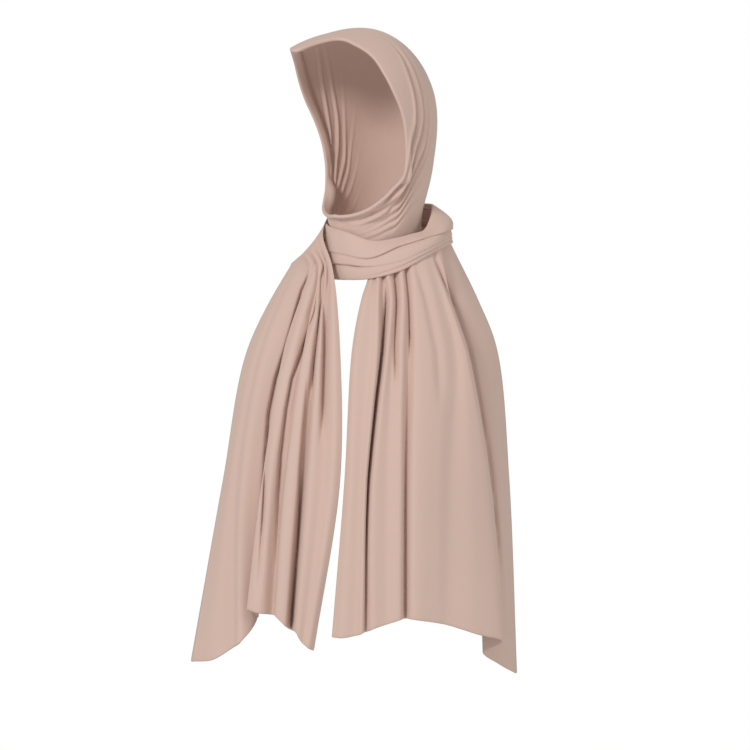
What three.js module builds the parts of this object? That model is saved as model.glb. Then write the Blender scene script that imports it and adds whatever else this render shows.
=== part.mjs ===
// A long jersey scarf, worn as a hood: over the head, once round the neck, with both ends hanging
// down the front. Everything is in millimetres, +Z is up and -Y is the front. The origin is the
// top of the hood, where a head carries it. Left and right are the wearer's own.

import * as THREE from 'three';

// Driving dimensions.
const HOOD_WALL = 2.0;
const WRAP_WALL = 2.2;
const END_WALL = 1.4;
const SEAM_GAP = 0.3;
const HEAD_TURN = THREE.MathUtils.degToRad(48);
const HEAD_CENTRE = { x: -12, y: 0 };
const THROAT = { forward: 45, height: -285 };
const NECK_CENTRE = { x: 28, y: 20 };

const FACES_FRONT = 1;
const FACES_BACK = -1;

// A table has one header with the names of its columns and one row for each section or fold.
function table(header, rows) {
  const names = header.split(' ');
  return rows.map((row) => Object.fromEntries(names.map((name, i) => [name, row[i]])));
}

// The slope of a column at one row, taken from the rows beside it.
function slopeAt(rows, key, column, i) {
  const before = rows[Math.max(i - 1, 0)];
  const after = rows[Math.min(i + 1, rows.length - 1)];
  return (after[column] - before[column]) / (after[key] - before[key]);
}

// The value of a column between two rows, on a smooth curve through all of them.
function between(rows, key, at, column) {
  const last = rows.length - 1;
  const x = THREE.MathUtils.clamp(at, rows[0][key], rows[last][key]);
  const next = rows.findIndex((row, i) => i > 0 && x <= row[key]);
  const a = rows[next - 1];
  const b = rows[next];
  const span = b[key] - a[key];
  const t = (x - a[key]) / span;
  const slopeA = slopeAt(rows, key, column, next - 1) * span;
  const slopeB = slopeAt(rows, key, column, next) * span;
  const t2 = t * t;
  const t3 = t2 * t;
  return (2 * t3 - 3 * t2 + 1) * a[column] + (t3 - 2 * t2 + t) * slopeA
    + (3 * t2 - 2 * t3) * b[column] + (t3 - t2) * slopeB;
}

function bump(distance, width) {
  return Math.exp(-((distance / width) ** 2));
}

// The direction that each point of a grid faces. A closed grid joins its last column to its first.
function normalsOf(grid, facing, closed) {
  const rows = grid.length;
  const columns = grid[0].length;
  return grid.map((line, i) => line.map((point, j) => {
    const left = closed ? (j + columns - 1) % columns : Math.max(j - 1, 0);
    const right = closed ? (j + 1) % columns : Math.min(j + 1, columns - 1);
    const across = line[right].clone().sub(line[left]);
    const down = grid[Math.min(i + 1, rows - 1)][j].clone().sub(grid[Math.max(i - 1, 0)][j]);
    return across.cross(down).normalize().multiplyScalar(facing);
  }));
}

// Presses folds into a grid: each point moves back by its depth.
function pressed(grid, facing, closed, depthAt) {
  const normals = normalsOf(grid, facing, closed);
  return grid.map((line, i) => line.map((point, j) => (
    point.clone().addScaledVector(normals[i][j], -depthAt(i, j))
  )));
}

// One closed wall of cloth: the grid is its outer face, the inner face lies a thickness behind it,
// and strips join the two along every free edge.
function wallOf(grid, thickness, facing, closed = false) {
  const rows = grid.length;
  const columns = grid[0].length;
  const inner = pressed(grid, facing, closed, () => thickness);
  const positions = [...grid.flat(), ...inner.flat()].flatMap((p) => [p.x, p.y, p.z]);
  const outerAt = (i, j) => i * columns + (j % columns);
  const innerAt = (i, j) => rows * columns + outerAt(i, j);
  const index = [];
  const quad = (a, b, c, d) => {
    const order = facing === FACES_FRONT ? [a, b, c, a, c, d] : [a, c, b, a, d, c];
    index.push(...order);
  };
  const spans = closed ? columns : columns - 1;
  for (let j = 0; j < spans; j += 1) {
    for (let i = 0; i < rows - 1; i += 1) {
      quad(outerAt(i, j), outerAt(i, j + 1), outerAt(i + 1, j + 1), outerAt(i + 1, j));
      quad(innerAt(i, j), innerAt(i + 1, j), innerAt(i + 1, j + 1), innerAt(i, j + 1));
    }
    quad(outerAt(0, j), innerAt(0, j), innerAt(0, j + 1), outerAt(0, j + 1));
    quad(outerAt(rows - 1, j), outerAt(rows - 1, j + 1), innerAt(rows - 1, j + 1), innerAt(rows - 1, j));
  }
  if (!closed) {
    const end = columns - 1;
    for (let i = 0; i < rows - 1; i += 1) {
      quad(outerAt(i, 0), outerAt(i + 1, 0), innerAt(i + 1, 0), innerAt(i, 0));
      quad(outerAt(i, end), innerAt(i, end), innerAt(i + 1, end), outerAt(i + 1, end));
    }
  }
  const geometry = new THREE.BufferGeometry();
  geometry.setAttribute('position', new THREE.Float32BufferAttribute(positions, 3));
  geometry.setIndex(index);
  geometry.computeVertexNormals();
  return geometry;
}

// The hood. Its sections are rings in planes that all turn about one level line at the throat, by
// an angle in degrees from upright: inner and outer are a ring's reach at the throat and at the
// crown, near and far its half widths on the left and right of the head.
const HOOD_RINGS = table('angle inner outer near far', [
  [-12, 62, 262, 66, 66],
  [0, 60, 276, 77, 77],
  [15, 57, 291, 82, 80],
  [30, 42, 267, 76, 69],
  [45, 33, 203, 62, 55],
  [60, 28, 151, 52, 46],
  [75, 25, 136, 49, 44],
  [86, 24, 131, 49, 44],
]);
const HOOD_CROWN_FULLNESS = 0.15;

// The face edge and the hidden neck edge, by the place around the ring: 0 is the crown, 90 the
// wearer's left, 180 the throat and -90 the wearer's right. Creases are angles behind the face edge.
const HOOD_EDGES = table('around face neck', [
  [-180, 10, 84],
  [-145, 22, 83],
  [-119, 28, 80],
  [-98, 23, 78],
  [-75, 10, 78],
  [-45, 0, 78],
  [-15, -9, 78],
  [4, -12, 78],
  [10, -6, 78],
  [16, -1, 78],
  [30, 1.5, 78],
  [45, 4.2, 78],
  [60, 6.5, 78],
  [75, 10.5, 78],
  [90, 17.5, 78],
  [100, 23.5, 79],
  [109, 29.3, 80],
  [119, 29, 80],
  [132, 26.4, 81],
  [145, 22.9, 83],
  [164, 16.4, 84],
  [180, 10, 84],
]);
const HOOD_CREASES = table('around first second third depth', [
  [0, 9, 13, 22, 0],
  [20, 9.5, 13, 22, 0.5],
  [45, 9.5, 13, 22, 1],
  [64, 9.5, 14, 23, 1.2],
  [77, 9.5, 15, 22, 1.2],
  [90, 6, 11, 17, 1.2],
  [100, 4, 8.5, 12, 1.2],
  [115, 2, 7, 11, 1.1],
  [130, 2.8, 6.5, 12, 1],
  [150, 3, 5, 10, 0.8],
  [180, 4, 8, 13, 0],
]);
const HOOD_CREASE = { depth: 2.6, width: 1.7 };
const HOOD_COLUMNS = 48;
const HOOD_ROWS = 25;
const ROWS_DRAWN_TO_FACE = 1.5;

function hoodPoint(angle, around) {
  const inner = between(HOOD_RINGS, 'angle', angle, 'inner');
  const outer = between(HOOD_RINGS, 'angle', angle, 'outer');
  const side = between(HOOD_RINGS, 'angle', angle, around >= 0 ? 'near' : 'far');
  const place = THREE.MathUtils.degToRad(around);
  const tilt = THREE.MathUtils.degToRad(angle);
  const reach = (inner + outer) / 2 + ((outer - inner) / 2) * Math.cos(place);
  const left = side * Math.sin(place) * (1 + HOOD_CROWN_FULLNESS * Math.cos(place));
  const forward = THROAT.forward - reach * Math.sin(tilt);
  return new THREE.Vector3(
    HEAD_CENTRE.x - forward * Math.sin(HEAD_TURN) + left * Math.cos(HEAD_TURN),
    HEAD_CENTRE.y - forward * Math.cos(HEAD_TURN) - left * Math.sin(HEAD_TURN),
    THROAT.height + reach * Math.cos(tilt),
  );
}

function makeHood() {
  const behindFace = [];
  const grid = [];
  for (let i = 0; i < HOOD_ROWS; i += 1) {
    const drawn = (i / (HOOD_ROWS - 1)) ** ROWS_DRAWN_TO_FACE;
    behindFace.push([]);
    grid.push([]);
    for (let j = 0; j < HOOD_COLUMNS; j += 1) {
      const around = -180 + (360 * j) / HOOD_COLUMNS;
      const face = between(HOOD_EDGES, 'around', around, 'face');
      const neck = between(HOOD_EDGES, 'around', around, 'neck');
      behindFace[i].push((neck - face) * drawn);
      grid[i].push(hoodPoint(face + (neck - face) * drawn, around));
    }
  }
  const folded = pressed(grid, FACES_FRONT, true, (i, j) => {
    const around = Math.abs(-180 + (360 * j) / HOOD_COLUMNS);
    const depth = between(HOOD_CREASES, 'around', around, 'depth') * HOOD_CREASE.depth;
    const lines = ['first', 'second', 'third'].map((name) => (
      bump(behindFace[i][j] - between(HOOD_CREASES, 'around', around, name), HOOD_CREASE.width)
    ));
    return depth * Math.max(...lines);
  });
  return wallOf(folded, HOOD_WALL, FACES_FRONT, true);
}

// The wrap goes once round the neck, anticlockwise from above: turn 0 is the front, 90 the
// wearer's left. Heights are of its two edges and of the two grooves between its folds; rim, belly
// and foot are its outer radii at the top edge, at its fullest and at the bottom edge.
const WRAP_TURNS = table('turn top bottom rim belly foot groove under', [
  [-95, -236, -299, 76.6, 76, 71, -268, -284],
  [-50, -246, -301, 71, 73, 69, -272, -286],
  [-20, -257, -300, 62, 71, 68, -275, -289],
  [10, -252, -292, 56, 71, 69, -262, -284],
  [30, -240, -281, 56, 74, 71, -252, -272],
  [45, -219, -274, 56, 76, 73, -249, -266],
  [90, -209, -258, 52, 76, 77, -243, -253],
  [135, -205, -262, 58, 76, 73, -236, -250],
  [180, -206, -270, 68, 75, 72, -238, -254],
  [235, -214, -282, 76, 77, 73, -246, -264],
]);
const WRAP_BELLY_AT = 0.5;
const WRAP_GROOVE = { depth: 4, width: 4.5 };
const WRAP_ROWS = 56;
const WRAP_COLUMNS = 14;

function wrapPoint(turn, down, inset = 0) {
  const at = (column) => between(WRAP_TURNS, 'turn', turn, column);
  const height = at('top') + (at('bottom') - at('top')) * down;
  const toBelly = Math.min(down / WRAP_BELLY_AT, 1);
  const pastBelly = Math.max((down - WRAP_BELLY_AT) / (1 - WRAP_BELLY_AT), 0);
  const round = at('rim') + (at('belly') - at('rim')) * Math.sin((toBelly * Math.PI) / 2);
  const grooves = bump(height - at('groove'), WRAP_GROOVE.width)
    + bump(height - at('under'), WRAP_GROOVE.width) / 2;
  const radius = round + (at('foot') - at('belly')) * pastBelly ** 2
    - WRAP_GROOVE.depth * grooves * Math.sin(Math.PI * down) - inset;
  const place = THREE.MathUtils.degToRad(turn);
  return new THREE.Vector3(
    NECK_CENTRE.x + radius * Math.sin(place),
    NECK_CENTRE.y - radius * Math.cos(place),
    height,
  );
}

function makeWrap() {
  const first = WRAP_TURNS[0].turn;
  const last = WRAP_TURNS[WRAP_TURNS.length - 1].turn;
  const grid = [];
  for (let i = 0; i < WRAP_ROWS; i += 1) {
    const turn = first + ((last - first) * i) / (WRAP_ROWS - 1);
    grid.push([]);
    for (let j = 0; j < WRAP_COLUMNS; j += 1) {
      grid[i].push(wrapPoint(turn, j / (WRAP_COLUMNS - 1)));
    }
  }
  return wallOf(grid, WRAP_WALL, FACES_FRONT);
}

// Both ends hang over a smooth body form. At each level it is an ellipse in plan: its centre, half
// width and half depth.
const FORM = {
  collarRight: { x: 28, y: 48, wide: 121, deep: 85 },
  shoulderLeft: { x: 26, y: 22, wide: 110, deep: 82 },
  chest: { x: 11, y: 20, wide: 150, deep: 98 },
  waist: { x: 0, y: 20, wide: 172, deep: 128 },
  hem: { x: -12, y: 20, wide: 205, deep: 130 },
};
const COLLAR_HEIGHT = -288;
const SHOULDER_HEIGHT = -326;
const CHEST_HEIGHT = -386;
const WAIST_HEIGHT = -542;

// A point on the form, set back by the depth of a fold.
function onForm(form, x, height, depth) {
  const across = Math.min(Math.abs(x - form.x) / form.wide, 1);
  const front = form.y - form.deep * Math.sqrt(1 - across * across);
  return new THREE.Vector3(x, front + depth, height);
}

// A hanging end, from its fold lines: each line runs down through its stations, and the cloth
// passes smoothly from line to line. The first station only gives the direction at the top.
const STEPS_PER_FOLD_LINE = 3;

function hangingEnd(lines, rows, facing) {
  const stations = lines[0].length;
  const top = 1 / (stations - 1);
  const curves = lines.map((points) => new THREE.CatmullRomCurve3(points, false, 'centripetal'));
  const columns = (lines.length - 1) * STEPS_PER_FOLD_LINE + 1;
  const grid = [];
  for (let i = 0; i < rows; i += 1) {
    const down = top + ((1 - top) * i) / (rows - 1);
    const section = curves.map((curve) => curve.getPoint(down));
    const across = new THREE.CatmullRomCurve3(section, false, 'centripetal');
    grid.push(Array.from({ length: columns }, (_, j) => across.getPoint(j / (columns - 1))));
  }
  return wallOf(grid, END_WALL, facing);
}

// The end over the right shoulder goes on from the wrap at the nape, passes over the start of the
// wrap and falls in deep pleats. A row is a fold line from the front edge to the outer edge: where
// it lies across at the collar, chest, waist and hem, how far it is set back there, and its hem.
const RIGHT_END_FOLDS = table('collar chest waist hem height c1 c2 c3 c4', [
  [-40, -31, -31, -62, -742, 1, 4, 6, 8],
  [-43, -38, -40, -68, -739, 0, 0, 0, 0],
  [-46, -48, -51, -74, -734, 1, 5, 3, 0],
  [-48.5, -56, -66, -82, -722, 0, 0, -2, -4],
  [-50.5, -62, -76, -89, -718, 1.5, 10, 23, 32],
  [-53, -66, -83, -96, -712, 0, 0, 0, 0],
  [-55, -72, -94, -106, -703, 0, -1, -2, -2],
  [-58, -77, -105, -115, -700, 2, 7, 8, 9],
  [-62, -86, -115, -128, -698, 0, -1, -3, -4],
  [-65, -94, -121, -140, -694, 0, 0, 0, 0],
  [-68, -97, -119, -133, -704, 2, 9, 18, 25],
  [-74, -107, -133, -137, -719, 1, 6, 10, 14],
  [-82, -120, -146, -151, -734, 0, 0, 0, 0],
  [-86, -126, -154, -158, -739, 1, 2, 5, 8],
  [-89, -132, -162, -182, -754, 0, 0, 0, 0],
  [-92, -142, -171, -209, -758, 0, 0, 0, 0],
]);
const RIGHT_END_ROWS = 18;
const NECK_SIDE = {
  front: new THREE.Vector3(-55, 18, -243),
  middle: new THREE.Vector3(-73, 36, -266),
  back: new THREE.Vector3(-86, 58, -281),
};

function makeRightEnd() {
  const wrapEnd = WRAP_TURNS[WRAP_TURNS.length - 1].turn;
  const seamTurn = wrapEnd + THREE.MathUtils.radToDeg(SEAM_GAP / WRAP_TURNS[0].belly);
  const turnBefore = 15;
  const neckSide = new THREE.QuadraticBezierCurve3(NECK_SIDE.front, NECK_SIDE.middle, NECK_SIDE.back);
  const seam = (across) => {
    const point = wrapPoint(seamTurn, across);
    const along = THREE.MathUtils.degToRad(wrapEnd);
    const shift = new THREE.Vector3(Math.cos(along), Math.sin(along), 0);
    return point.addScaledVector(shift, SEAM_GAP);
  };
  const lines = RIGHT_END_FOLDS.map((fold, i) => {
    const across = i / (RIGHT_END_FOLDS.length - 1);
    return [
      wrapPoint(wrapEnd - turnBefore, across),
      seam(across),
      neckSide.getPoint(across),
      onForm(FORM.collarRight, fold.collar, COLLAR_HEIGHT, fold.c1),
      onForm(FORM.chest, fold.chest, CHEST_HEIGHT, fold.c2),
      onForm(FORM.waist, fold.waist, WAIST_HEIGHT, fold.c3),
      onForm(FORM.hem, fold.hem, fold.height, fold.c4),
    ];
  });
  return hangingEnd(lines, RIGHT_END_ROWS, FACES_FRONT);
}

// The end over the left shoulder comes out from under the wrap. Its rows are as above, from the
// front edge to the outer edge, with its turn under the wrap in place of the collar.
const LEFT_END_FOLDS = table('turn shoulder chest waist hem height c1 c2 c3 c4', [
  [-24, -5, -16, -25, -40, -726, 2, 3, 4, 5],
  [-20, 0, -11, -18, -28, -727, 0, 0, 0, 0],
  [-16, 7, 4, -6, -12, -724, 1, 2, 2, 2],
  [-12, 15, 13, 0, -5, -722, 0, -1, -1, -1],
  [-7, 23, 19, 3, 0, -720, 3, 8, 9, 6],
  [-2, 29, 24, 8, 7, -717, 0, 0, 0, 0],
  [5, 36, 32, 26, 24, -711, 2, 3, 3, 2],
  [12, 44, 42, 41, 40, -706, 0, 0, 0, 0],
  [18, 52, 52, 48, 48, -704, 3, 5, 8, 9],
  [24, 58, 60, 56, 55, -705, 0, -1, -2, -3],
  [35, 79, 89, 84, 82, -709, 0, 0, 0, 0],
  [43, 91, 107, 101, 97, -712, 2, 3, 3, 2],
  [51, 98, 116, 130, 134, -724, 0, 0, 0, 0],
  [58, 101, 121, 148, 164, -733, 0, 0, 0, 0],
  [68, 97, 117, 142, 146, -748, 18, 24, 32, 42],
  [80, 119, 140, 160, 161, -762, 18, 25, 30, 45],
  [94, 134, 157, 172, 181, -774, 8, 20, 26, 55],
]);
const LEFT_END_ROWS = 17;
const TUCK = { rise: 14, inset: 7.5, insetAtFoot: 2.9 };

function makeLeftEnd() {
  const underWrap = (turn, inset, rise) => {
    const foot = wrapPoint(turn, 1, inset);
    return foot.add(new THREE.Vector3(0, 0, rise));
  };
  const lines = LEFT_END_FOLDS.map((fold) => [
    underWrap(fold.turn, TUCK.inset, 2 * TUCK.rise),
    underWrap(fold.turn, TUCK.inset, TUCK.rise),
    underWrap(fold.turn, TUCK.insetAtFoot, 0),
    onForm(FORM.shoulderLeft, fold.shoulder, SHOULDER_HEIGHT, fold.c1),
    onForm(FORM.chest, fold.chest, CHEST_HEIGHT, fold.c2),
    onForm(FORM.waist, fold.waist, WAIST_HEIGHT, fold.c3),
    onForm(FORM.hem, fold.hem, fold.height, fold.c4),
  ]);
  return hangingEnd(lines, LEFT_END_ROWS, FACES_BACK);
}

const scarf = new THREE.Group();

function addPiece(name, geometry, color) {
  const material = new THREE.MeshStandardMaterial({ color, roughness: 0.85, metalness: 0 });
  const piece = new THREE.Mesh(geometry, material);
  piece.name = name;
  scarf.add(piece);
}

addPiece('hood', makeHood(), 0xc6b3a8);
addPiece('neck_wrap', makeWrap(), 0xbfa398);
addPiece('right_shoulder_end', makeRightEnd(), 0xcbb1a5);
addPiece('left_shoulder_end', makeLeftEnd(), 0xcbafa3);

export default scarf;
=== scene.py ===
import math

import bmesh
import bpy
import numpy as np
from mathutils import Matrix, Vector


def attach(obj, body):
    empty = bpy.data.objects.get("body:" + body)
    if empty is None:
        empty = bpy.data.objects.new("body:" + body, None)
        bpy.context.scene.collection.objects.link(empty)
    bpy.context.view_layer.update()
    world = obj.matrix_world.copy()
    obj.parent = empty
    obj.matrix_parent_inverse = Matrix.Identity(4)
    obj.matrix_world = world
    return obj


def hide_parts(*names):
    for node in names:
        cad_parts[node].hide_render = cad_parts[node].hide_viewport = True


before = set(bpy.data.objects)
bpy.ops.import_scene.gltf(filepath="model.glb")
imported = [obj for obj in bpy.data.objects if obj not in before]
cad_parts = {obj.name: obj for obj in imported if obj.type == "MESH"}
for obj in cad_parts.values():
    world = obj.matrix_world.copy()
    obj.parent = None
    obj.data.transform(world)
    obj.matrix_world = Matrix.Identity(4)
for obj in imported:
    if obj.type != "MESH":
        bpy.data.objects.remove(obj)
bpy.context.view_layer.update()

MM = 0.001

# The camera stands straight in front of the scarf, level with its middle, and far enough off that
# the view hardly converges. It frames the scarf as the photograph does.
VIEW_WIDTH = 0.9
CAMERA_AWAY = 9.0
SENSOR_WIDTH = 36.0
VIEW_DEPTH = 40.0
VIEW_CENTRE = Vector((0.0108, 0.0, -0.4164))

camera_data = bpy.data.cameras.new("camera")
camera_data.sensor_width = SENSOR_WIDTH
camera_data.lens = SENSOR_WIDTH * CAMERA_AWAY / VIEW_WIDTH
camera_data.clip_end = VIEW_DEPTH
camera = bpy.data.objects.new("camera", camera_data)
camera.location = VIEW_CENTRE - Vector((0.0, CAMERA_AWAY, 0.0))
camera.rotation_euler = (math.pi / 2, 0.0, 0.0)
bpy.context.collection.objects.link(camera)
bpy.context.scene.camera = camera

# The studio: a pale floor below the scarf, one large soft light from the upper left of the camera
# and a weak one from the right. The surround is seen as plain white, and lights less than it shows.
FLOOR_HEIGHT = -1.05
FLOOR_HALF = 1.6
FLOOR_TONE = (0.86, 0.86, 0.86, 1.0)
WHITE = (1.0, 1.0, 1.0, 1.0)
SURROUND_LIGHT = 0.52
SURROUND_SEEN = 1.0
LIGHTS = {
    "key": {"place": (-2.0, -2.8, 1.3), "size": 0.9, "power": 72.0},
    "fill": {"place": (2.6, -2.0, 0.3), "size": 1.2, "power": 22.0},
}

floor_mesh = bpy.data.meshes.new("studio_floor")
floor_shape = bmesh.new()
bmesh.ops.create_grid(floor_shape, x_segments=1, y_segments=1, size=FLOOR_HALF)
bmesh.ops.translate(floor_shape, vec=(0.0, 0.0, FLOOR_HEIGHT), verts=floor_shape.verts)
floor_shape.to_mesh(floor_mesh)
floor_shape.free()
floor = bpy.data.objects.new("studio_floor", floor_mesh)
bpy.context.collection.objects.link(floor)
floor_paint = bpy.data.materials.new("studio_floor")
floor_paint.use_nodes = True
floor_shader = floor_paint.node_tree.nodes["Principled BSDF"]
floor_shader.inputs["Base Color"].default_value = FLOOR_TONE
floor_shader.inputs["Roughness"].default_value = 0.9
floor_mesh.materials.append(floor_paint)

world = bpy.data.worlds.new("studio")
world.use_nodes = True
sky_tree = world.node_tree
lighting_sky = sky_tree.nodes["Background"]
seen_sky = sky_tree.nodes.new("ShaderNodeBackground")
for sky, strength in ((lighting_sky, SURROUND_LIGHT), (seen_sky, SURROUND_SEEN)):
    sky.inputs["Color"].default_value = WHITE
    sky.inputs["Strength"].default_value = strength
ray = sky_tree.nodes.new("ShaderNodeLightPath")
either = sky_tree.nodes.new("ShaderNodeMixShader")
sky_tree.links.new(ray.outputs["Is Camera Ray"], either.inputs["Fac"])
sky_tree.links.new(lighting_sky.outputs["Background"], either.inputs[1])
sky_tree.links.new(seen_sky.outputs["Background"], either.inputs[2])
sky_tree.links.new(either.outputs["Shader"], sky_tree.nodes["World Output"].inputs["Surface"])
bpy.context.scene.world = world
bpy.context.scene.view_settings.view_transform = "Standard"

for name, light in LIGHTS.items():
    lamp_data = bpy.data.lights.new(name, "AREA")
    lamp_data.size = light["size"]
    lamp_data.energy = light["power"]
    lamp = bpy.data.objects.new(name, lamp_data)
    lamp.location = light["place"]
    lamp.rotation_euler = (VIEW_CENTRE - lamp.location).to_track_quat("-Z", "Y").to_euler()
    bpy.context.collection.objects.link(lamp)

# The hood is the middle of the long jersey rectangle, laid over the head with its long edge turned
# under round the face. The cloth is pulled down both sides and crosses under the chin, so long
# creases sweep from the crown past the ear to the throat. It ends inside the neck wrap.
HEAD_TURN = math.radians(48.0)
HEAD_CENTRE = (-12.0, 0.0)
THROAT_FORWARD = 45.0
THROAT_HEIGHT = -285.0
CROWN_FULLNESS = 0.15
HOOD_ROWS = 150
HOOD_COLUMNS = 240
ROWS_DRAWN_TO_FACE = 1.4
CLOTH = 0.9
FACE_EDGE_ROLL = 1.3
FACE_EDGE_TURN_UNDER = 14.0
CREASE_WIDTH = 2.7
CREASE_LIP = {"share": 0.35, "beside": 5.0, "width": 3.0}
FAR_SIDE_CREASES = 0.4
JERSEY_TONE = (0.610, 0.440, 0.370)


def as_table(header, rows):
    """A table as its columns: the header names them, and each row is one section or fold."""
    return {name: np.array(column, float) for name, column in zip(header.split(), zip(*rows))}


def smooth(rows, key, column, at):
    """The value of a column where the key column equals at, on a smooth curve through all rows."""
    x, y = rows[key], rows[column]
    after = np.minimum(np.arange(len(x)) + 1, len(x) - 1)
    before = np.maximum(np.arange(len(x)) - 1, 0)
    slope = (y[after] - y[before]) / (x[after] - x[before])
    at = np.clip(at, x[0], x[-1])
    i = np.clip(np.searchsorted(x, at) - 1, 0, len(x) - 2)
    span = x[i + 1] - x[i]
    t = (at - x[i]) / span
    rise = 3 * t**2 - 2 * t**3
    return (
        (1 - rise) * y[i]
        + rise * y[i + 1]
        + (t**3 - 2 * t**2 + t) * slope[i] * span
        + (t**3 - t**2) * slope[i + 1] * span
    )


def trough(distance, width):
    """A soft valley: 1 at its middle, falling off over its width."""
    return np.exp(-((distance / width) ** 2))


def facing(points, front, closed=False):
    """The direction that each point of a grid of points faces; front is 1 or -1."""
    if closed:
        across = np.roll(points, -1, axis=1) - np.roll(points, 1, axis=1)
    else:
        across = np.gradient(points, axis=1)
    normal = np.cross(across, np.gradient(points, axis=0)) * front
    return normal / np.linalg.norm(normal, axis=2, keepdims=True)


def rolled_edge(points, normal, radius, turn_under, steps=5):
    """Rows that carry the first row of a grid round a small roll and back behind the cloth."""
    along = points[1] - points[0]
    along /= np.linalg.norm(along, axis=1, keepdims=True)
    centre = points[0] - normal[0] * radius
    rows = [centre - normal[0] * radius + along * turn_under * part for part in (1.0, 0.5)]
    for step in range(steps, 0, -1):
        angle = math.pi * step / steps
        rows.append(centre + radius * (normal[0] * math.cos(angle) - along * math.sin(angle)))
    return np.concatenate([np.array(rows), points])


def cloth_piece(name, points, front, thickness, material, closed=False):
    """A thin cloth piece over a grid of points in millimetres, with the cloth's own UV map, in
    metres along and across the cloth."""
    rows, columns = points.shape[:2]
    spans = columns if closed else columns - 1
    shape = bmesh.new()
    uv_layer = shape.loops.layers.uv.new("cloth")
    bmesh.ops.create_grid(shape, x_segments=spans, y_segments=rows - 1, size=0.5)
    along = np.linalg.norm(np.diff(points, axis=0), axis=2).mean(axis=1)
    across = np.linalg.norm(np.diff(points, axis=1), axis=2).mean(axis=0)
    v = np.concatenate([[0.0], np.cumsum(along)]) * MM
    u = np.concatenate([[0.0], np.cumsum(across), [0.0]]) * MM
    u[-1] = u[-2] + across.mean() * MM
    cell = {}
    for vert in shape.verts:
        j = round((vert.co.x + 0.5) * spans)
        i = round((vert.co.y + 0.5) * (rows - 1))
        cell[vert] = (i, j)
    for face in shape.faces:
        for loop in face.loops:
            i, j = cell[loop.vert]
            loop[uv_layer].uv = (u[j], v[i])
    for vert, (i, j) in cell.items():
        vert.co = Vector(points[i, j % columns]) * MM
    if closed:
        bmesh.ops.remove_doubles(shape, verts=shape.verts, dist=1e-6)
    if front > 0:
        bmesh.ops.reverse_faces(shape, faces=shape.faces)
    for face in shape.faces:
        face.smooth = True
    mesh = bpy.data.meshes.new(name)
    shape.to_mesh(mesh)
    shape.free()
    mesh.materials.append(material)
    piece = bpy.data.objects.new(name, mesh)
    bpy.context.collection.objects.link(piece)
    wall = piece.modifiers.new("thickness", "SOLIDIFY")
    wall.thickness = thickness * MM
    wall.offset = -1.0
    return piece


class Socket:
    """A node socket that takes part in Python arithmetic, and makes the nodes that stand for it."""

    def __init__(self, tree, link):
        self.tree = tree
        self.link = link

    def node(self, kind, settings=None, output=0, **values):
        made = self.tree.nodes.new(kind)
        for key, value in (settings or {}).items():
            setattr(made, key, value)
        for key, value in values.items():
            socket = made.inputs[int(key[1:])] if key[1:].isdigit() else made.inputs[key.replace("_", " ")]
            if isinstance(value, Socket):
                self.tree.links.new(value.link, socket)
            else:
                socket.default_value = value
        return Socket(self.tree, made.outputs[output])

    def maths(self, operation, first, second=0.0):
        return self.node("ShaderNodeMath", {"operation": operation}, n0=first, n1=second)

    def __add__(self, other):
        return self.maths("ADD", self, other)

    def __mul__(self, other):
        return self.maths("MULTIPLY", self, other)

    def __sub__(self, other):
        return self.maths("SUBTRACT", self, other)


def jersey_material(name, tone):
    """Soft matte jersey: fine lengthwise wales, a little uneven dye, and a faint nap that catches
    light at grazing angles. Tone is the dye's linear colour."""
    material = bpy.data.materials.new(name)
    material.use_nodes = True
    tree = material.node_tree
    shader = tree.nodes["Principled BSDF"]
    start = Socket(tree, None)
    place = start.node("ShaderNodeUVMap", {"uv_map": "cloth"})
    body = start.node("ShaderNodeTexCoord", output=3)
    cloudy = start.node("ShaderNodeTexNoise", Vector=body, Scale=7.0, Detail=3.0, Roughness=0.6)
    streak_place = start.node("ShaderNodeMapping", Vector=place, Scale=(420.0, 14.0, 1.0))
    streaks = start.node("ShaderNodeTexNoise", Vector=streak_place, Scale=1.0, Detail=2.0)
    knit_place = start.node("ShaderNodeMapping", Vector=place, Scale=(1250.0, 900.0, 1.0))
    knit = start.node("ShaderNodeTexNoise", Vector=knit_place, Scale=1.0, Detail=1.0, Roughness=0.4)
    shade = (cloudy - 0.5) * 0.16 + (streaks - 0.5) * 0.10 + (knit - 0.5) * 0.08 + 0.5
    low = tuple(channel * 0.86 for channel in tone) + (1.0,)
    high = tuple(min(channel * 1.12, 1.0) for channel in tone) + (1.0,)
    dye = start.node("ShaderNodeMix", {"data_type": "RGBA"}, output=2, n0=shade, n6=low, n7=high)
    tree.links.new(dye.link, shader.inputs["Base Color"])
    nap = (knit - 0.5) * 0.10 + (cloudy - 0.5) * 0.08 + 0.80
    tree.links.new(nap.link, shader.inputs["Roughness"])
    relief = knit * 0.6 + streaks * 0.5
    bump = start.node("ShaderNodeBump", Strength=0.35, Distance=0.0004, Height=relief)
    tree.links.new(bump.link, shader.inputs["Normal"])
    shader.inputs["Specular IOR Level"].default_value = 0.25
    shader.inputs["Sheen Weight"].default_value = 0.22
    shader.inputs["Sheen Roughness"].default_value = 0.45
    shader.inputs["Sheen Tint"].default_value = (1.0, 0.93, 0.89, 1.0)
    return material


# Each ring of the hood is an oval in a plane that turns about the throat, from 0 straight up to the
# nape: its reach from the throat on both sides, and its half widths towards the left and the right.
HOOD_RINGS = as_table("angle inner outer near far", [
    (-12, 62, 262, 66, 66),
    (0, 60, 276, 77, 77),
    (15, 57, 291, 82, 80),
    (30, 42, 267, 76, 69),
    (45, 33, 203, 62, 55),
    (60, 28, 151, 52, 46),
    (75, 25, 136, 49, 44),
    (86, 24, 131, 49, 44),
])
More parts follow.
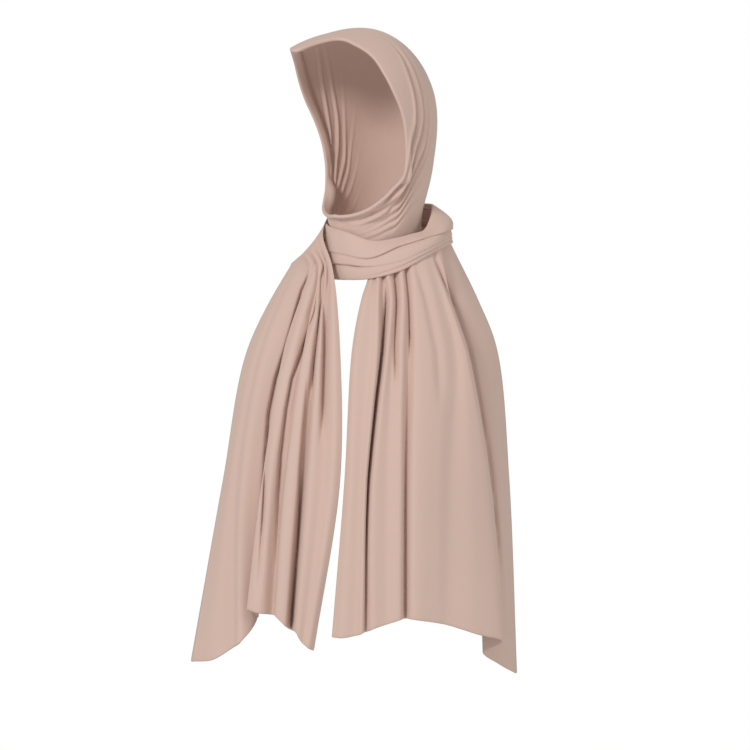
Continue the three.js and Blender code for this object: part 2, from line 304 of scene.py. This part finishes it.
# Which ring the face edge and the neck edge lie on, going round from the crown, in degrees.
HOOD_EDGES = as_table("around face neck", [
    (-180, 10, 84),
    (-145, 22, 83),
    (-119, 28, 80),
    (-98, 23, 78),
    (-75, 10, 78),
    (-45, 0, 78),
    (-15, -9, 78),
    (4, -12, 78),
    (10, -6, 78),
    (16, -1, 78),
    (30, 1.5, 78),
    (45, 4.2, 78),
    (60, 6.5, 78),
    (75, 10.5, 78),
    (90, 17.5, 78),
    (100, 23.5, 79),
    (109, 29.3, 80),
    (119, 29, 80),
    (132, 26.4, 81),
    (145, 22.9, 83),
    (164, 16.4, 84),
    (180, 10, 84),
])
# How far behind the face edge each crease runs, in degrees, from the crown round to the throat.
HOOD_CREASES = as_table("around a b c d e f", [
    (15, 9.5, 12.0, 17.0, 22.0, 29.0, 38.0),
    (43, 9.5, 12.4, 17.5, 23.0, 29.0, 38.0),
    (60, 9.5, 13.6, 18.5, 24.0, 29.5, 39.0),
    (75, 9.7, 14.8, 19.0, 23.5, 30.0, 38.0),
    (85, 8.0, 12.6, 17.8, 22.0, 27.5, 35.0),
    (95, 4.2, 8.9, 13.6, 17.5, 22.5, 29.0),
    (105, 3.2, 7.8, 10.6, 15.0, 20.0, 26.0),
    (115, 1.7, 7.0, 9.4, 13.8, 18.5, 24.0),
    (130, 2.6, 6.2, 11.5, 15.0, 19.5, 25.0),
    (150, 3.0, 5.4, 10.5, 15.0, 20.0, 26.0),
    (180, 3.2, 6.3, 9.5, 14.0, 19.0, 25.0),
])
# How deep each crease is along the same way, in millimetres.
HOOD_DEPTHS = as_table("around a b c d e f", [
    (15, 0.0, 0.0, 0.0, 0.0, 0.0, 0.0),
    (30, 0.3, 0.0, 0.0, 0.0, 0.0, 0.0),
    (43, 2.0, 1.4, 0.0, 0.0, 0.0, 0.0),
    (60, 4.0, 4.2, 1.4, 0.4, 0.0, 0.0),
    (75, 5.4, 5.6, 3.4, 1.8, 0.8, 0.3),
    (90, 5.8, 5.6, 5.0, 3.6, 2.0, 1.0),
    (105, 6.0, 5.6, 5.2, 4.4, 3.0, 1.8),
    (120, 6.2, 5.6, 5.0, 4.2, 3.0, 1.8),
    (140, 5.6, 5.2, 4.8, 3.8, 2.6, 1.4),
    (160, 3.8, 4.0, 3.8, 2.8, 1.8, 0.8),
    (180, 1.8, 2.6, 2.6, 1.8, 1.2, 0.4),
])

around = np.linspace(-180.0, 180.0, HOOD_COLUMNS + 1)[None, :-1]
drawn = (np.linspace(0.0, 1.0, HOOD_ROWS) ** ROWS_DRAWN_TO_FACE)[:, None]
face_angle = smooth(HOOD_EDGES, "around", "face", around)
neck_angle = smooth(HOOD_EDGES, "around", "neck", around)
behind_face = (neck_angle - face_angle) * drawn
ring = face_angle + behind_face
inner, outer = smooth(HOOD_RINGS, "angle", "inner", ring), smooth(HOOD_RINGS, "angle", "outer", ring)
half_width = np.where(
    around >= 0.0, smooth(HOOD_RINGS, "angle", "near", ring), smooth(HOOD_RINGS, "angle", "far", ring)
)
place = np.radians(around)
reach = (inner + outer) / 2 + (outer - inner) / 2 * np.cos(place)
sideways = half_width * np.sin(place) * (1 + CROWN_FULLNESS * np.cos(place))
forward = THROAT_FORWARD - reach * np.sin(np.radians(ring))
hood_points = np.stack([
    HEAD_CENTRE[0] - forward * math.sin(HEAD_TURN) + sideways * math.cos(HEAD_TURN),
    HEAD_CENTRE[1] - forward * math.cos(HEAD_TURN) - sideways * math.sin(HEAD_TURN),
    THROAT_HEIGHT + reach * np.cos(np.radians(ring)),
], axis=2)
pressed_in = np.zeros(ring.shape)
for crease in "abcdef":
    line = smooth(HOOD_CREASES, "around", crease, np.abs(around))
    depth = smooth(HOOD_DEPTHS, "around", crease, np.abs(around))
    depth = depth * np.where(around >= 0.0, 1.0, FAR_SIDE_CREASES)
    apart = (behind_face - line) * math.radians(1.0) * reach
    lip = CREASE_LIP["share"] * trough(apart + CREASE_LIP["beside"], CREASE_LIP["width"])
    pressed_in += depth * (trough(apart, CREASE_WIDTH) - lip)
hood_points -= facing(hood_points, 1, closed=True) * pressed_in[..., None]
hood_points = rolled_edge(
    hood_points, facing(hood_points, 1, closed=True), FACE_EDGE_ROLL, FACE_EDGE_TURN_UNDER
)

jersey = jersey_material("jersey", JERSEY_TONE)
hood = cloth_piece("jersey_hood", hood_points, 1, CLOTH, jersey, closed=True)
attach(hood, "root")
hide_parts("hood")

# The neck wrap is the scarf taken once round the neck over the hood, gathered by hand into a loose
# roll of a few folds that lap over each other. It starts under the pleats on the right shoulder.
NECK_CENTRE = (28.0, 20.0)
WRAP_ROWS = 300
WRAP_COLUMNS = 72
WRAP_BELLY_AT = 0.5
WRAP_EDGE_ROLL = 1.0
WRAP_TURN_UNDER = 7.0
# Heights of the two edges and of the three fold lines, and the outer radii at the top edge, at the
# fullest and at the bottom edge. Turn 0 is the front, 90 the left.
WRAP_TURNS = as_table("turn top bottom rim belly foot groove under line", [
    (-95, -236, -299, 76.6, 76, 71, -264, -280, -296),
    (-50, -246, -301, 71, 73, 69, -271, -283, -298),
    (-20, -257, -300, 62, 71, 68, -276, -286, -297),
    (10, -253, -291, 56, 71, 69, -262, -280, -286),
    (30, -248, -279, 57, 74, 71, -255, -269, -274),
    (48, -243, -268, 57, 76, 74, -249, -259, -264),
    (68, -226, -260, 55, 76, 76, -243, -251, -256),
    (90, -214, -256, 53, 76, 77, -240, -248, -252),
    (135, -210, -262, 58, 76, 73, -236, -250, -258),
    (180, -209, -270, 68, 75, 72, -238, -254, -264),
    (235, -214, -282, 76, 77, 73, -246, -264, -275),
])
# How far each fold line steps in below itself, in millimetres.
WRAP_STEPS = as_table("turn groove under line", [
    (-95, 2.0, 3.0, 0.0),
    (-60, 2.2, 4.6, 0.0),
    (-35, 2.6, 4.4, 0.0),
    (-20, 3.2, 2.0, 0.6),
    (0, 4.4, 0.8, 1.4),
    (20, 5.0, 0.8, 1.6),
    (45, 4.4, 0.8, 1.8),
    (90, 3.6, 1.2, 1.4),
    (160, 3.0, 2.0, 0.6),
    (235, 2.6, 2.4, 0.4),
])


def lap(below, depth, reach_below, edge=1.3):
    """How far cloth steps in below a lapping fold: sharply at the fold, then back out slowly."""
    ramp = np.clip(below / edge, 0.0, 1.0)
    return depth * ramp**2 * (3 - 2 * ramp) * np.exp(-np.maximum(below, 0.0) / reach_below)


def wrap_surface(turn, down):
    """Points of the wrap's outer face: turn is round the neck in degrees, down is 0 at the top
    edge and 1 at the bottom edge."""
    column = {name: smooth(WRAP_TURNS, "turn", name, turn) for name in WRAP_TURNS}
    height = column["top"] + (column["bottom"] - column["top"]) * down
    to_belly = np.minimum(down / WRAP_BELLY_AT, 1.0)
    past_belly = np.maximum((down - WRAP_BELLY_AT) / (1 - WRAP_BELLY_AT), 0.0)
    radius = column["rim"] + (column["belly"] - column["rim"]) * np.sin(to_belly * math.pi / 2)
    radius = radius + (column["foot"] - column["belly"]) * past_belly**2
    for name, reach_below in (("groove", 9.0), ("under", 6.0), ("line", 2.5)):
        step = smooth(WRAP_STEPS, "turn", name, turn)
        radius = radius - lap(column[name] - height, step, reach_below)
    place = np.radians(turn)
    return np.stack([
        NECK_CENTRE[0] + radius * np.sin(place),
        NECK_CENTRE[1] - radius * np.cos(place),
        np.broadcast_to(height, radius.shape),
    ], axis=2)


turn = np.linspace(WRAP_TURNS["turn"][0], WRAP_TURNS["turn"][-1], WRAP_ROWS)[:, None]
down = np.linspace(0.0, 1.0, WRAP_COLUMNS)[None, :]
wrap_points = wrap_surface(turn, down)
# Each pass rolls the first edge and turns the grid half round, so both edges get their turn.
for edge in ("top", "bottom"):
    from_edge = wrap_points.swapaxes(0, 1)
    from_edge = rolled_edge(from_edge, facing(from_edge, -1), WRAP_EDGE_ROLL, WRAP_TURN_UNDER)
    wrap_points = from_edge.swapaxes(0, 1)[::-1, ::-1]
wrap = cloth_piece("jersey_neck_wrap", wrap_points, 1, CLOTH, jersey)
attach(wrap, "root")
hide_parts("neck_wrap")

# The end over the right shoulder goes on from the wrap at the nape, passes over the start of the
# wrap and falls in deep pleats down the front. Its short edge has a stitched hem.
# The form that the ends hang over, at each level: centre x and y, half width and half depth.
FORM = {
    "collar_right": (28, 48, 121, 85),
    "shoulder_left": (26, 22, 110, 82),
    "chest": (11, 20, 150, 98),
    "waist": (0, 20, 172, 128),
    "hem": (-12, 20, 205, 130),
}
COLLAR_HEIGHT = -288.0
SHOULDER_HEIGHT = -326.0
CHEST_HEIGHT = -386.0
WAIST_HEIGHT = -542.0
SEAM_GAP = 0.3
TURN_BEFORE_SEAM = 15.0
RIGHT_END_ROWS = 240
STEPS_PER_FOLD_LINE = 10
CREASE_FADE = 5.0
GENTLE_FLANK = 2.6
RIGHT_CREASES = (
    ((9.0, 1.5), (-57, -274), (-77, -314), (-96, -384), (-108, -420), (-116.5, -462), (-119.5, -510),
     (-122, -560), (-125, -610), (-130, -690)),
    ((8.0, 1.3), (-52, -276), (-62, -340), (-77, -388), (-89, -420), (-96, -458), (-102, -510),
     (-105, -560), (-107, -650)),
    ((7.0, 1.2), (-49, -276), (-54, -300), (-58, -372), (-62, -403), (-64, -450)),
    ((9.0, 2.0), (-46, -284), (-50.5, -330), (-50.5, -386), (-52, -440), (-54, -500)),
    ((7.0, 1.3), (-70, -420), (-75.5, -481), (-79, -529), (-82, -640)),
)
# One fold line a row, from the front edge to the outer edge: its x at each level, the height of its
# hem, and how far it is set back at each level, from the neck down.
RIGHT_END_FOLDS = as_table("collar chest waist hem height c0 c1 c2 c3 c4", [
    (-40, -31, -31, -62, -742, 0, 1, 4, 6, 8),
    (-43, -38, -40, -68, -739, 0, 0, 0, 0, 0),
    (-46, -48, -51, -74, -734, 2, 3.5, 6, 4, 0),
    (-48.5, -56, -66, -82, -722, 0, 0, 0, -2, -4),
    (-50.5, -61, -75, -89, -718, 2.5, 4, 8, 15, 26),
    (-53, -66, -83, -96, -712, 0, 0, 0, 0, 0),
    (-56, -73, -94, -106, -703, 0, 0, -1, -2, -2),
    (-57, -74, -98, -111, -700, 3, 5, 10, 12, 12),
    (-62, -86, -115, -128, -698, 0, 0, -1, -3, -4),
    (-67, -97, -123, -141, -694, 0, 0, -1, -1, 0),
    (-66, -92, -114, -130, -704, 3, 6, 15, 23, 27),
    (-73, -104, -130, -137, -719, 1, 3, 9, 13, 14),
    (-82, -120, -146, -151, -734, 0, 0, 0, 0, 0),
    (-86, -126, -154, -158, -739, 0, 1, 3, 6, 8),
    (-89, -132, -162, -182, -754, 0, 0, 0, 0, 0),
    (-92, -142, -171, -209, -758, 0, 0, 0, 0, 0),
])
NECK_SIDE = ((-51.5, 6, -247), (-71, 30, -265), (-86, 56, -281))
HEM_ROLL = 0.8
HEM_TURN_UP = 26.0
STITCH_LINE = 29.0
STITCH_LENGTH = 2.6
STITCH_PITCH = 3.8
STITCH_HALF_WIDTH = 0.4
STITCH_SUNK = 0.4
THREAD_TONE = (0.50, 0.36, 0.30)


def on_form(form, x, height, depth):
    """Points on the body form at one level, set back by the depth of each fold."""
    centre_x, centre_y, wide, deep = FORM[form]
    across = np.minimum(np.abs(x - centre_x) / wide, 1.0)
    y = centre_y - deep * np.sqrt(1 - across**2) + depth
    return np.stack([x, y, np.broadcast_to(height, x.shape).astype(float)], axis=1)


def through(stations, at):
    """Smooth curves through the stations, one for each column; at counts stations from 0."""
    points = np.concatenate([
        [2 * stations[0] - stations[1]], stations, [2 * stations[-1] - stations[-2]]
    ])
    gaps = np.maximum(np.linalg.norm(np.diff(points, axis=0), axis=2), 1e-4)[..., None] ** 0.5
    i = np.minimum(np.floor(at).astype(int), len(stations) - 2)
    t = (at - i)[:, None, None]
    p0, p1, p2, p3 = points[i], points[i + 1], points[i + 2], points[i + 3]
    g0, g1, g2 = gaps[i], gaps[i + 1], gaps[i + 2]
    m1 = ((p1 - p0) / g0 - (p2 - p0) / (g0 + g1) + (p2 - p1) / g1) * g1
    m2 = ((p2 - p1) / g1 - (p3 - p1) / (g1 + g2) + (p3 - p2) / g2) * g1
    rise = 3 * t**2 - 2 * t**3
    return (1 - rise) * p1 + rise * p2 + (t**3 - 2 * t**2 + t) * m1 + (t**3 - t**2) * m2


def hanging_end(stations, rows):
    """The points of a hanging end, from its fold lines: one row of stations for each level. The
    first level only gives the direction at the top."""
    levels, lines = stations.shape[:2]
    down_lines = through(stations, np.linspace(1.0, levels - 1.0, rows))
    columns = (lines - 1) * STEPS_PER_FOLD_LINE + 1
    across = through(down_lines.swapaxes(0, 1), np.linspace(0.0, lines - 1.0, columns))
    return across.swapaxes(0, 1)


def creased(points, creases):
    """The points with thin creases pressed back into them. A crease is its depth and width, then
    the x and height of each point on its path seen from the front; its left flank is the steep one."""
    for crease in creases:
        depth, width = crease[0]
        path = np.array(crease[1:], dtype=float)
        height = -points[:, :, 2]
        middle = np.interp(height, -path[:, 1], path[:, 0])
        along = np.interp(height, -path[:, 1], np.linspace(0.0, 1.0, len(path)))
        fade = np.minimum(1.0, np.minimum(along, 1.0 - along) * CREASE_FADE)
        off = points[:, :, 0] - middle
        flank = np.where(off < 0.0, width, GENTLE_FLANK * width)
        points[:, :, 1] += depth * fade * trough(off, flank)
    return points


def hem_stitches(name, points, above_hem, front, material):
    """A row of small raised stitches along the cloth, a set way above its lower edge."""
    from_hem = np.cumsum(np.linalg.norm(np.diff(points[::-1], axis=0), axis=2), axis=0)
    normal = facing(points, front)
    line, line_normal = [], []
    for j in range(points.shape[1]):
        row = points.shape[0] - 2 - int(np.searchsorted(from_hem[:, j], above_hem))
        line.append(points[row, j])
        line_normal.append(normal[row, j])
    line, line_normal = np.array(line), np.array(line_normal)
    length = np.concatenate([[0.0], np.cumsum(np.linalg.norm(np.diff(line, axis=0), axis=1))])
    shape = bmesh.new()
    for start in np.arange(STITCH_PITCH, length[-1] - STITCH_PITCH, STITCH_PITCH):
        a = Vector([np.interp(start, length, line[:, k]) for k in range(3)])
        b = Vector([np.interp(start + STITCH_LENGTH, length, line[:, k]) for k in range(3)])
        n = Vector([np.interp(start, length, line_normal[:, k]) for k in range(3)]).normalized()
        run = (b - a).normalized()
        side = n.cross(run).normalized()
        turned = Matrix((run, side, n)).transposed()
        size = Matrix.Diagonal((STITCH_LENGTH / 2, STITCH_HALF_WIDTH, STITCH_HALF_WIDTH))
        centre = (a + b) / 2 + n * STITCH_HALF_WIDTH * STITCH_SUNK
        place_there = Matrix.Translation(centre * MM) @ (turned @ size * MM).to_4x4()
        bmesh.ops.create_icosphere(shape, subdivisions=1, radius=1.0, matrix=place_there)
    for face in shape.faces:
        face.smooth = True
    mesh = bpy.data.meshes.new(name)
    shape.to_mesh(mesh)
    shape.free()
    mesh.materials.append(material)
    stitches = bpy.data.objects.new(name, mesh)
    bpy.context.collection.objects.link(stitches)
    return stitches


def thread_material(name, tone):
    """Sewing thread in the cloth's own colour, a shade deeper, with a soft gloss."""
    material = bpy.data.materials.new(name)
    material.use_nodes = True
    tree = material.node_tree
    shader = tree.nodes["Principled BSDF"]
    start = Socket(tree, None)
    body = start.node("ShaderNodeTexCoord", output=3)
    twist = start.node("ShaderNodeTexNoise", Vector=body, Scale=900.0, Detail=1.0)
    low = tuple(channel * 0.80 for channel in tone) + (1.0,)
    dye = start.node("ShaderNodeMix", {"data_type": "RGBA"}, output=2, n0=twist, n6=low, n7=tone + (1.0,))
    tree.links.new(dye.link, shader.inputs["Base Color"])
    shader.inputs["Roughness"].default_value = 0.6
    return material


folds = RIGHT_END_FOLDS
share = np.linspace(0.0, 1.0, len(folds["collar"]))
wrap_end = WRAP_TURNS["turn"][-1]
seam = wrap_surface(np.array([[wrap_end]]), share[None, :])[0]
along_wrap = np.array([math.cos(math.radians(wrap_end)), math.sin(math.radians(wrap_end)), 0.0])
seam += SEAM_GAP * along_wrap
before_seam = wrap_surface(np.array([[wrap_end - TURN_BEFORE_SEAM]]), share[None, :])[0]
start_side, middle_side, back_side = (np.array(point, float) for point in NECK_SIDE)
s = share[:, None]
neck_side = (1 - s) ** 2 * start_side + 2 * s * (1 - s) * middle_side + s**2 * back_side
neck_side[:, 1] += folds["c0"]
right_points = hanging_end(np.stack([
    before_seam,
    seam,
    neck_side,
    on_form("collar_right", folds["collar"], COLLAR_HEIGHT, folds["c1"]),
    on_form("chest", folds["chest"], CHEST_HEIGHT, folds["c2"]),
    on_form("waist", folds["waist"], WAIST_HEIGHT, folds["c3"]),
    on_form("hem", folds["hem"], folds["height"], folds["c4"]),
]), RIGHT_END_ROWS)
thread = thread_material("hem_thread", THREAD_TONE)
right_points = creased(right_points, RIGHT_CREASES)
right_stitches = hem_stitches("hem_stitches_right", right_points, STITCH_LINE, 1, thread)
right_points = rolled_edge(
    right_points[::-1], facing(right_points, 1)[::-1], HEM_ROLL, HEM_TURN_UP
)[::-1]
right_end = cloth_piece("jersey_right_end", right_points, 1, CLOTH, jersey)
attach(right_stitches, "root")
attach(right_end, "root")
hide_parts("right_shoulder_end")

# The end over the left shoulder comes out from under the wrap in small gathers and opens into
# broad, soft folds. Its outer part turns back behind the front, and its short edge is hemmed too.
LEFT_END_ROWS = 240
TUCK_RISE = 14.0
TUCK_INSET = 7.5
TUCK_INSET_AT_FOOT = 2.9
TUCK_FOLD_SHARE = 0.5
LEFT_HEM_TURN_UP = 21.0
LEFT_STITCH_LINE = 23.0
LEFT_CREASES = (
    ((10.0, 1.6), (25, -296), (24, -331), (19, -389), (12, -439), (7, -490), (2, -540), (-2, -640)),
    ((6.0, 1.8), (33, -280), (36, -330), (34, -380), (36, -440)),
    ((5.0, 1.5), (45, -276), (50, -330), (53, -400)),
    ((8.0, 1.5), (77, -262), (84, -284), (105, -338), (122, -389), (135, -456), (147, -523),
     (161, -659), (166, -745)),
    ((4.0, 3.0), (55, -270), (72, -330), (84, -390), (88, -460)),
)
# As the rows of the right end, with the turn under the wrap first.
LEFT_END_FOLDS = as_table("turn shoulder chest waist hem height c0 c1 c2 c3 c4", [
    (-24, -5, -16, -25, -40, -726, 3, 4, 4, 5, 5),
    (-20, 0, -11, -18, -28, -727, 1, 1, 0, 0, 0),
    (-16, 8, 4, -6, -12, -724, 3, 3, 2, 2, 2),
    (-12, 14, 13, 0, -5, -722, 0, 0, -1, -1, -1),
    (-7, 20, 18, 2, -1, -720, 7, 9, 11, 12, 8),
    (-2, 29, 25, 8, 7, -717, 0, 0, 0, 0, 0),
    (5, 36, 32, 26, 24, -711, 6, 6, 5, 4, 3),
    (12, 44, 42, 41, 40, -706, 0, 0, 0, 0, 0),
    (18, 51, 51, 47, 47, -704, 4, 5, 7, 11, 12),
    (24, 58, 60, 56, 55, -705, 0, 0, -1, -2, -3),
    (35, 79, 89, 84, 82, -709, 0, 0, 0, 0, 0),
    (43, 91, 107, 101, 97, -712, 1, 3, 5, 5, 3),
    (51, 97, 114, 128, 134, -724, 0, 0, 0, 0, 0),
    (58, 101, 121, 148, 164, -733, 0, 0, 0, 0, 0),
    (64, 94, 111, 136, 142, -748, 3, 14, 24, 34, 44),
    (80, 119, 140, 160, 161, -762, 0, 14, 25, 30, 45),
    (94, 134, 157, 172, 181, -774, 0, 8, 20, 26, 55),
])


def under_wrap(turns, inset, rise):
    """Points inside the wrap's bottom edge, set in by inset and raised by rise."""
    foot = wrap_surface(turns[None, :], np.array([[1.0]]))[0]
    place = np.radians(turns)
    inward = np.stack([-np.sin(place), np.cos(place), np.zeros(len(turns))], axis=1)
    return foot + np.reshape(inset, (-1, 1)) * inward + np.array([0.0, 0.0, rise])


folds = LEFT_END_FOLDS
left_points = hanging_end(np.stack([
    under_wrap(folds["turn"], TUCK_INSET + TUCK_FOLD_SHARE * folds["c0"], 2 * TUCK_RISE),
    under_wrap(folds["turn"], TUCK_INSET + TUCK_FOLD_SHARE * folds["c0"], TUCK_RISE),
    under_wrap(folds["turn"], TUCK_INSET_AT_FOOT + folds["c0"], 0.0),
    on_form("shoulder_left", folds["shoulder"], SHOULDER_HEIGHT, folds["c1"]),
    on_form("chest", folds["chest"], CHEST_HEIGHT, folds["c2"]),
    on_form("waist", folds["waist"], WAIST_HEIGHT, folds["c3"]),
    on_form("hem", folds["hem"], folds["height"], folds["c4"]),
]), LEFT_END_ROWS)
left_points = creased(left_points, LEFT_CREASES)
left_stitches = hem_stitches("hem_stitches_left", left_points, LEFT_STITCH_LINE, -1, thread)
left_points = rolled_edge(
    left_points[::-1], facing(left_points, -1)[::-1], HEM_ROLL, LEFT_HEM_TURN_UP
)[::-1]
left_end = cloth_piece("jersey_left_end", left_points, -1, CLOTH, jersey)
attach(left_stitches, "root")
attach(left_end, "root")
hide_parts("left_shoulder_end")
